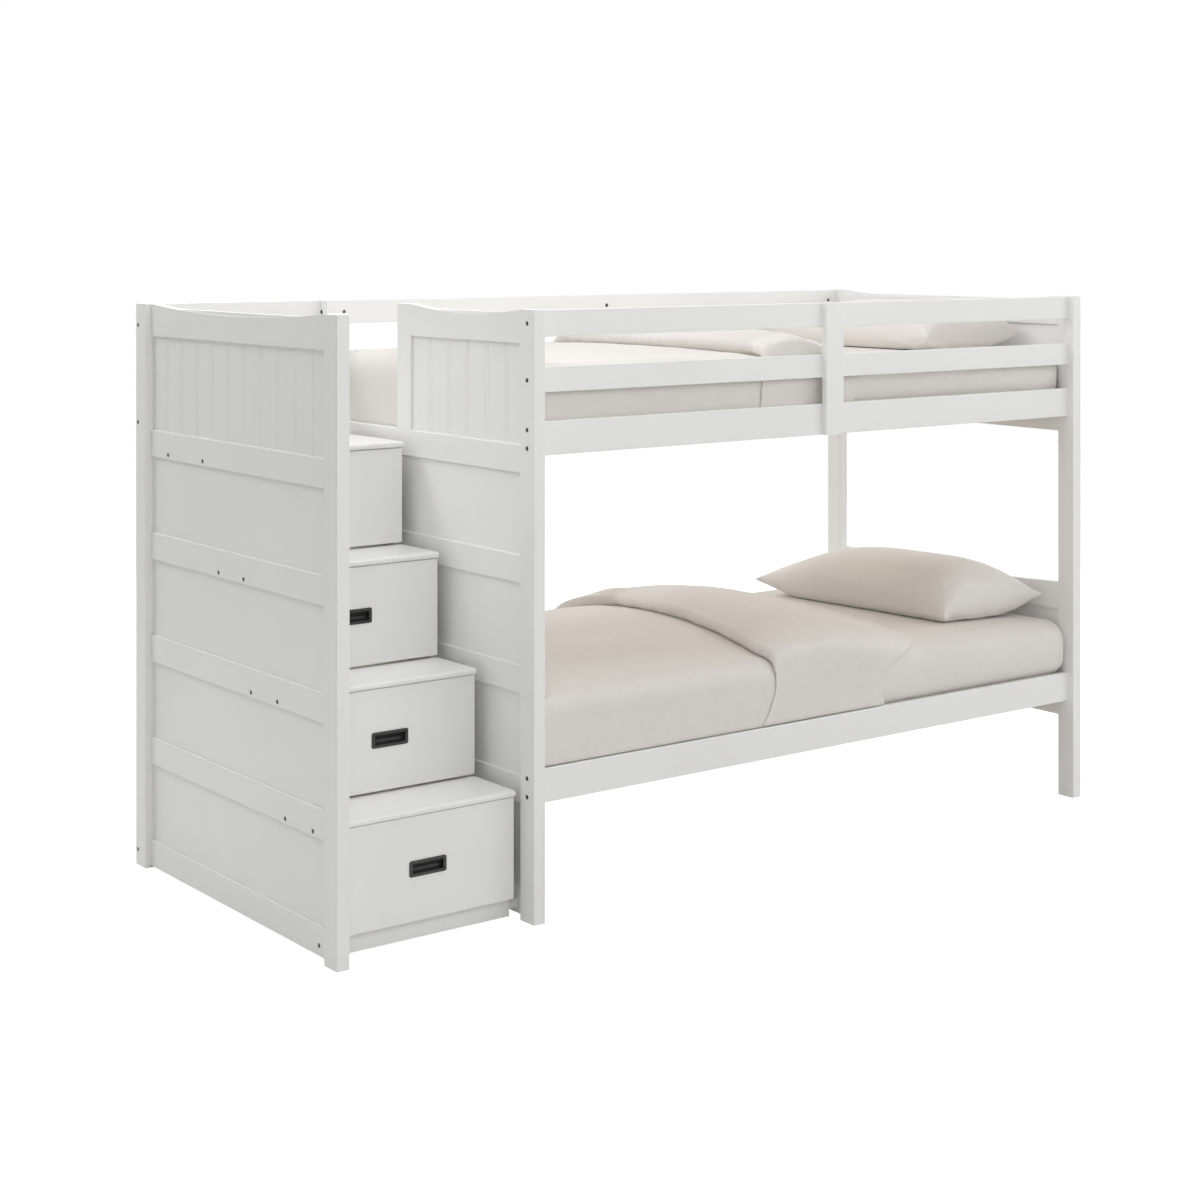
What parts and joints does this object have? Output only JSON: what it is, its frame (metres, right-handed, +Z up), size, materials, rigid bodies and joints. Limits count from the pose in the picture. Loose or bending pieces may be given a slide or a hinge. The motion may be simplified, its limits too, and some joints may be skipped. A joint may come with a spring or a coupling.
{
  "type": "bunk bed with stairs",
  "caption": "White wooden twin bunk bed with a drawer staircase across one end, guard rails on the upper bunk and made-up bedding on both bunks.",
  "frame": {"origin": "middle of the footprint, on the floor under the post feet", "axes": "+X along the bed from the stairs to the head end, +Y from the open front to the back, +Z up"},
  "size_m": [2.544, 1.063, 1.492],
  "materials": {
    "white_wood": "satin white paint",
    "plain_wood": "planed bare softwood",
    "drawer_wood": "clear lacquered wood",
    "black_metal": "matte black",
    "dark_steel": "dark oxide steel",
    "mattress_cloth": "plain fitted sheet",
    "duvet_cloth": "soft plain cotton",
    "pillow_cloth": "soft plain cotton"
  },
  "bodies": {
    "frame": {"back_lower_side_rail": "white_wood", "back_mid_guard_rail": "white_wood", "back_top_guard_rail": "white_wood", "back_upper_side_rail": "white_wood", "bed_left_beadboard": "white_wood", "bed_left_panels": "white_wood", "bed_left_rails": "white_wood", "bed_left_top_rail": "white_wood", "connector_bolts": "dark_steel", "drawer_runners": "plain_wood", "entry_stile": "white_wood", "front_lower_side_rail": "white_wood", "front_mid_guard_rail": "white_wood", "front_top_guard_rail": "white_wood", "front_upper_side_rail": "white_wood", "guard_uprights": "white_wood", "head_end_beadboard": "white_wood", "head_end_mid_rail": "white_wood", "head_end_top_rail": "white_wood", "headboard_bottom_rail": "white_wood", "headboard_panel": "white_wood", "headboard_top_rail": "white_wood", "lower_duvet": "duvet_cloth", "lower_mattress": "mattress_cloth", "lower_pillow": "pillow_cloth", "lower_slats": "plain_wood", "post_bed_back_left": "white_wood", "post_bed_front_left": "white_wood", "post_head_back": "white_wood", "post_head_front": "white_wood", "post_stair_back": "white_wood", "post_stair_front": "white_wood", "slat_cleats": "plain_wood", "stair_back_rails": "white_wood", "stair_cleats": "plain_wood", "stair_end_beadboard": "white_wood", "stair_end_panels": "white_wood", "stair_end_rails": "white_wood", "stair_end_top_rail": "white_wood", "stair_kick_board": "white_wood", "stair_side_left": "white_wood", "stair_side_right": "white_wood", "stair_spacers": "white_wood", "stair_treads": "white_wood", "upper_duvet": "duvet_cloth", "upper_mattress": "mattress_cloth", "upper_pillow": "pillow_cloth", "upper_slats": "plain_wood"},
    "drawer_1": {"drawer_1_front": "white_wood", "drawer_1_box": "drawer_wood", "drawer_1_pull": "black_metal"},
    "drawer_2": {"drawer_2_front": "white_wood", "drawer_2_box": "drawer_wood", "drawer_2_pull": "black_metal"},
    "drawer_3": {"drawer_3_front": "white_wood", "drawer_3_box": "drawer_wood", "drawer_3_pull": "black_metal"},
    "drawer_4": {"drawer_4_front": "white_wood", "drawer_4_box": "drawer_wood", "drawer_4_pull": "black_metal"}
  },
  "joints": [
    {"name": "drawer_1_slide", "type": "slide", "parent": "frame", "child": "drawer_1", "axis": [0, -1, 0], "range_m": [0, 0.3]},
    {"name": "drawer_2_slide", "type": "slide", "parent": "frame", "child": "drawer_2", "axis": [0, -1, 0], "range_m": [0, 0.3]},
    {"name": "drawer_3_slide", "type": "slide", "parent": "frame", "child": "drawer_3", "axis": [0, -1, 0], "range_m": [0, 0.3]},
    {"name": "drawer_4_slide", "type": "slide", "parent": "frame", "child": "drawer_4", "axis": [0, -1, 0], "range_m": [0, 0.3]}
  ]
}
